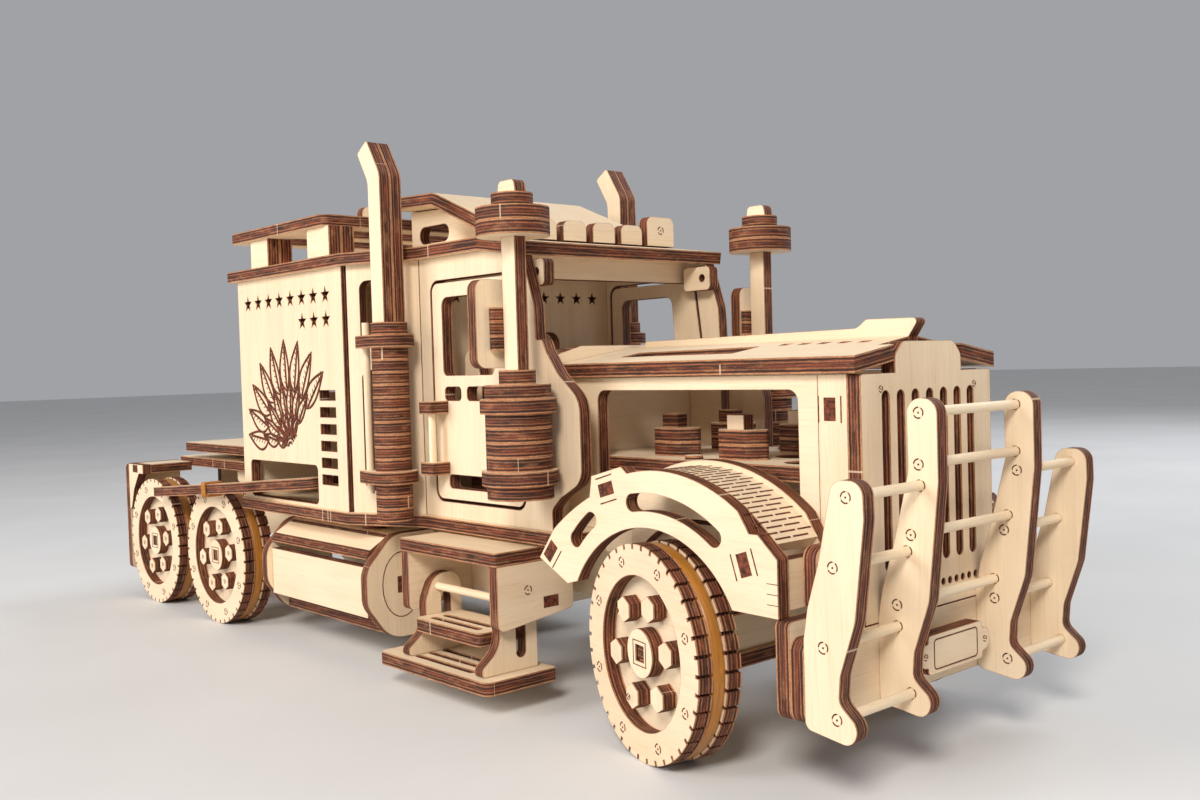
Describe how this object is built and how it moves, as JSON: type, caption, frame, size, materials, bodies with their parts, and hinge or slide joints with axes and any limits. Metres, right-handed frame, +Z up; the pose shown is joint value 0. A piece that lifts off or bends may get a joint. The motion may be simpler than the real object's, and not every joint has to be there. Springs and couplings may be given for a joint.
{
  "type": "wooden truck tractor kit",
  "caption": "Laser-cut plywood model of a bonneted truck tractor with steering front wheels, rolling axles, opening doors and hood, tilting fifth wheel and bull-bar guards.",
  "frame": {"origin": "centre of the footprint, on the ground under the wheels", "axes": "+X forward, +Y to the driver's left, +Z up"},
  "size_m": [0.4096, 0.1268, 0.174],
  "materials": {
    "plywood": "bare birch plywood, laser-cut edges burnt brown",
    "dowel": "bare round birch sticks",
    "rubber_band": "translucent amber natural rubber"
  },
  "bodies": {
    "chassis": {"frame_rails": "plywood", "cross_members": "plywood", "base_plate": "plywood", "cab_sides": "plywood", "diagonal_walls": "plywood", "sleeper_sides": "plywood", "sleeper_back": "plywood", "cab_partition": "plywood", "roof_plate": "plywood", "sun_visor": "plywood", "roof_rack": "plywood", "wind_deflector": "plywood", "marker_lights": "plywood", "windshield_frame": "plywood", "dashboard": "plywood", "seats": "plywood", "firewall": "plywood", "hood_sides": "plywood", "radiator_posts": "plywood", "grille_panel": "plywood", "bumper_sheets": "plywood", "number_plate": "plywood", "guard_plates": "plywood", "guard_rods": "dowel", "headlights": "plywood", "fender_plates": "plywood", "fender_skins": "plywood", "engine_deck": "plywood", "engine_blocks": "plywood", "motor_drum": "plywood", "motor_bands": "rubber_band", "air_cleaners": "plywood", "exhausts": "plywood", "mirrors": "plywood", "tank_ends": "plywood", "tank_slats": "plywood", "step_boxes": "plywood", "step_treads": "plywood", "rear_deck": "plywood", "mudguards": "plywood", "front_beam": "plywood"},
    "hood_lid": {"hood_panels": "plywood", "hood_keel": "plywood"},
    "right_door": {"door_right": "plywood"},
    "left_door": {"door_left": "plywood"},
    "fifth_wheel": {"fifth_wheel_plate": "plywood"},
    "lever": {"release_lever": "plywood"},
    "right_knuckle": {"knuckle_right": "plywood"},
    "left_knuckle": {"knuckle_left": "plywood"},
    "track_rod": {"tie_rod": "plywood"},
    "right_front_wheel": {"front_wheel_right": "plywood", "front_band_right": "rubber_band"},
    "left_front_wheel": {"front_wheel_left": "plywood", "front_band_left": "rubber_band"},
    "mid_axle": {"mid_axle_shaft": "plywood", "mid_axle_wheels": "plywood", "mid_axle_bands": "rubber_band"},
    "rear_axle": {"rear_axle_shaft": "plywood", "rear_axle_wheels": "plywood", "rear_axle_bands": "rubber_band"}
  },
  "joints": [
    {"name": "hood_lift", "type": "hinge", "parent": "chassis", "child": "hood_lid", "pos_m": [0.0823, 0, 0.1052], "axis": [0, -1, 0], "range_deg": [0, 55]},
    {"name": "right_door_swing", "type": "hinge", "parent": "chassis", "child": "right_door", "pos_m": [0.0779, -0.0416, 0.09], "axis": [0, 0, 1], "range_deg": [0, 60]},
    {"name": "left_door_swing", "type": "hinge", "parent": "chassis", "child": "left_door", "pos_m": [0.0779, 0.0416, 0.09], "axis": [0, 0, -1], "range_deg": [0, 60]},
    {"name": "fifth_wheel_tilt", "type": "hinge", "parent": "chassis", "child": "fifth_wheel", "pos_m": [-0.128, 0, 0.0626], "axis": [0, 1, 0], "range_deg": [0, 4]},
    {"name": "lever_swing", "type": "hinge", "parent": "chassis", "child": "lever", "pos_m": [-0.03416, -0.047, 0.06049], "axis": [-0.0802, 0, 0.9968], "range_deg": [0, 5], "stiffness_Nm_per_rad": 0.02},
    {"name": "right_steer", "type": "hinge", "parent": "chassis", "child": "right_knuckle", "pos_m": [0.14095, -0.0415, 0.0275], "axis": [0, 0, 1], "range_deg": [-8, 36]},
    {"name": "left_steer", "type": "hinge", "parent": "chassis", "child": "left_knuckle", "pos_m": [0.14095, 0.0415, 0.0275], "axis": [0, 0, 1], "range_deg": [-8, 36]},
    {"name": "track_rod_pivot", "type": "hinge", "parent": "right_knuckle", "child": "track_rod", "pos_m": [0.12931, -0.0386, 0.0297], "axis": [0, 0, 1], "range_deg": [-36, 8]},
    {"name": "right_front_spin", "type": "hinge", "parent": "right_knuckle", "child": "right_front_wheel", "pos_m": [0.13931, -0.0481, 0.0275], "axis": [0.2419, 0.9703, 0], "continuous": true},
    {"name": "left_front_spin", "type": "hinge", "parent": "left_knuckle", "child": "left_front_wheel", "pos_m": [0.14259, 0.0481, 0.0275], "axis": [0.2419, 0.9703, 0], "continuous": true},
    {"name": "mid_axle_spin", "type": "hinge", "parent": "chassis", "child": "mid_axle", "pos_m": [-0.1083, 0, 0.0275], "axis": [0, 1, 0], "continuous": true},
    {"name": "rear_axle_spin", "type": "hinge", "parent": "chassis", "child": "rear_axle", "pos_m": [-0.1724, 0, 0.0275], "axis": [0, 1, 0], "continuous": true}
  ],
  "couplings": [
    {"joint": "left_steer", "follows": "right_steer", "ratio": 1},
    {"joint": "track_rod_pivot", "follows": "right_steer", "ratio": -1}
  ]
}
